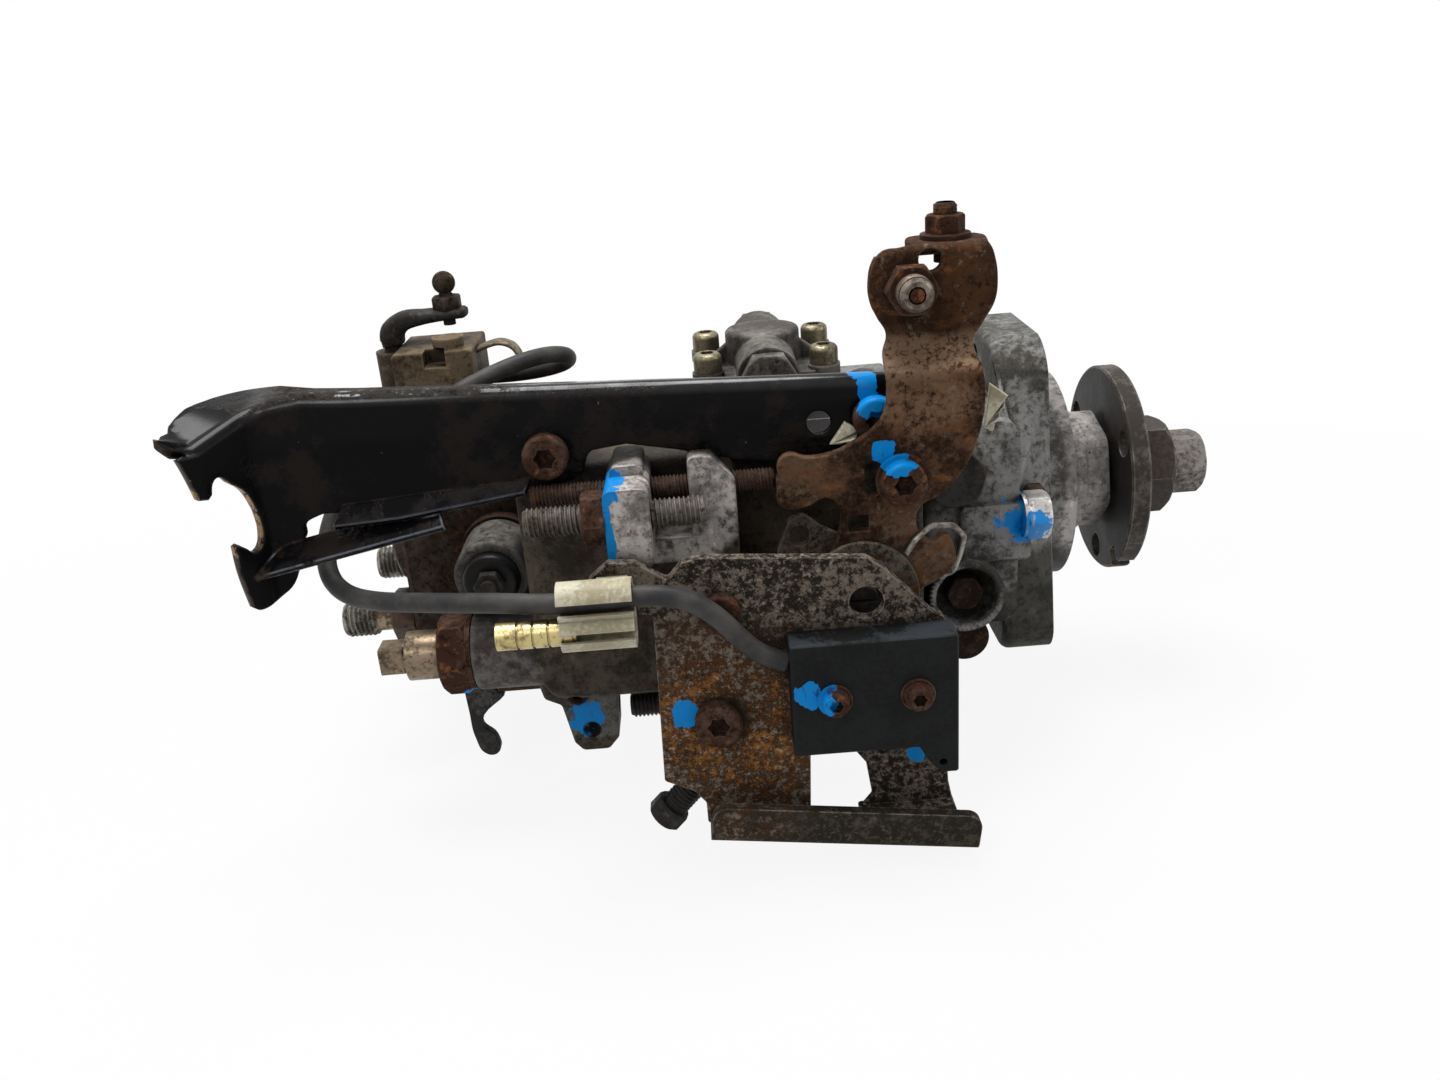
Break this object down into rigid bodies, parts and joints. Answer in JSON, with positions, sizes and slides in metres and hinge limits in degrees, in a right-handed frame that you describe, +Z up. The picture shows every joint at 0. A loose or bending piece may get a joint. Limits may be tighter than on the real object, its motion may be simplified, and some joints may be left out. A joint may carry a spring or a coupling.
{
  "type": "diesel injection pump",
  "caption": "Rotary diesel injection pump with flange, hub, throttle lever, screw stops, cable bracket, idle switch with lead and rear delivery unions.",
  "frame": {"origin": "drive shaft axis at the mounting flange's front face", "axes": "+X along the drive shaft out of the nose, -Y towards the lever side, +Z up"},
  "size_m": [0.3055, 0.161, 0.1752],
  "materials": {
    "cast_aluminium": "dirty, matt, mottled casting",
    "bright_aluminium": "clean fine-cast light alloy",
    "dark_steel": "oiled dark steel",
    "rusty_steel": "brown surface rust, matt",
    "plain_steel": "ground steel",
    "zinc_steel": "yellowish zinc plating",
    "bracket_paint": "gloss black paint, dusty on top",
    "bracket_plate": "plated sheet gone grey-brown",
    "head_steel": "dark steel with rust bloom",
    "black_plastic": "matt black",
    "cream_plastic": "translucent cream",
    "beige_plastic": "aged beige",
    "black_rubber": "satin rubber",
    "cable_rubber": "dull grey-black sheath",
    "brass": "plain brass",
    "bronze": "sintered bronze",
    "cast_iron": "machined iron"
  },
  "bodies": {
    "pump": {"main_housing": "cast_aluminium", "governor_cover": "cast_aluminium", "shaft_bearing": "bronze", "shaft_seal": "black_rubber", "arm_pin": "plain_steel", "hydraulic_head": "head_steel", "delivery_unions": "dark_steel", "transfer_liner": "cast_iron", "end_plate": "head_steel", "advance_housing": "bright_aluminium", "advance_plugs": "bright_aluminium", "advance_spring": "plain_steel", "advance_cap_screws": "zinc_steel", "governor_spring": "plain_steel", "idle_screw": "rusty_steel", "stop_screw": "rusty_steel", "lock_nut": "rusty_steel", "cable_bracket": "bracket_paint", "bracket_screws": "rusty_steel", "switch_bracket": "bracket_plate", "switch_bracket_screws": "rusty_steel", "rear_plate": "bracket_plate", "idle_switch": "black_plastic", "switch_screws": "rusty_steel", "switch_cable": "cable_rubber", "cable_clip": "cream_plastic", "brass_terminal": "brass", "solenoid_body": "bright_aluminium", "solenoid_boot": "black_rubber", "solenoid_terminal": "dark_steel", "adjuster": "dark_steel", "adjuster_nut": "rusty_steel", "valve_block": "cast_aluminium", "connector": "beige_plastic", "spring_clip": "zinc_steel", "hex_plug": "dark_steel", "housing_bolts": "dark_steel"},
    "drive": {"drive_shaft": "dark_steel", "drive_hub": "dark_steel", "nose_screw": "plain_steel", "governor_cage": "plain_steel", "governor_weights": "plain_steel", "rotor": "plain_steel", "plungers": "plain_steel", "roller_shoes": "plain_steel", "transfer_blades": "plain_steel"},
    "sleeve": {"thrust_sleeve": "plain_steel"},
    "governor": {"governor_arm": "plain_steel"},
    "link": {"metering_link": "plain_steel"},
    "metering": {"metering_valve": "plain_steel"},
    "cam": {"cam_ring": "plain_steel"},
    "piston": {"advance_piston": "plain_steel"},
    "throttle": {"throttle_shaft": "dark_steel", "throttle_lever": "rusty_steel", "throttle_screws": "rusty_steel", "spring_plate": "rusty_steel", "throttle_spring": "dark_steel"},
    "fast_idle": {"fast_idle_lever": "rusty_steel"},
    "stop": {"stop_lever": "dark_steel"},
    "load_lever": {"valve_lever": "dark_steel"}
  },
  "joints": [
    {"name": "drive_turn", "type": "hinge", "parent": "pump", "child": "drive", "pos_m": [0, 0, 0], "axis": [1, 0, 0], "continuous": true},
    {"name": "sleeve_slide", "type": "slide", "parent": "pump", "child": "sleeve", "axis": [-1, 0, 0], "range_m": [0, 0.0025], "stiffness_N_per_m": 500, "springref_m": -0.002},
    {"name": "governor_swing", "type": "hinge", "parent": "pump", "child": "governor", "pos_m": [-0.054, -0.036, 0], "axis": [0, 0, 1], "range_deg": [0, 6.2], "deforming": ["governor_spring"]},
    {"name": "link_slide", "type": "slide", "parent": "pump", "child": "link", "axis": [1, 0, 0], "range_m": [0, 0.0019]},
    {"name": "metering_turn", "type": "hinge", "parent": "pump", "child": "metering", "pos_m": [-0.128, -0.05, 0], "axis": [0, 1, 0], "range_deg": [0, 11.6]},
    {"name": "cam_turn", "type": "hinge", "parent": "pump", "child": "cam", "pos_m": [-0.086, 0, 0], "axis": [1, 0, 0], "range_deg": [0, 5.8], "stiffness_Nm_per_rad": 12, "springref_deg": -2.86},
    {"name": "advance_slide", "type": "slide", "parent": "pump", "child": "piston", "axis": [0, -1, 0], "range_m": [0, 0.0051], "deforming": ["advance_spring"]},
    {"name": "throttle_turn", "type": "hinge", "parent": "pump", "child": "throttle", "pos_m": [-0.067, -0.08, 0.0015], "axis": [0, 1, 0], "range_deg": [0, 40], "stiffness_Nm_per_rad": 0.4, "springref_deg": -28.65},
    {"name": "fast_idle_turn", "type": "hinge", "parent": "pump", "child": "fast_idle", "pos_m": [-0.067, -0.08, 0.0015], "axis": [0, 1, 0], "range_deg": [0, 15]},
    {"name": "stop_turn", "type": "hinge", "parent": "pump", "child": "stop", "pos_m": [-0.183, -0.042, -0.038], "axis": [1, 0, 0], "range_deg": [-25, 12]},
    {"name": "load_lever_turn", "type": "hinge", "parent": "pump", "child": "load_lever", "pos_m": [-0.2065, 0.006, 0.06], "axis": [0, 0, 1], "range_deg": [-20, 20]}
  ],
  "couplings": [
    {"joint": "governor_swing", "follows": "sleeve_slide", "rad_per_m": 41.667},
    {"joint": "link_slide", "follows": "sleeve_slide", "ratio": 0.70833},
    {"joint": "metering_turn", "follows": "sleeve_slide", "rad_per_m": 78.704},
    {"joint": "advance_slide", "follows": "cam_turn", "m_per_rad": 0.049}
  ]
}
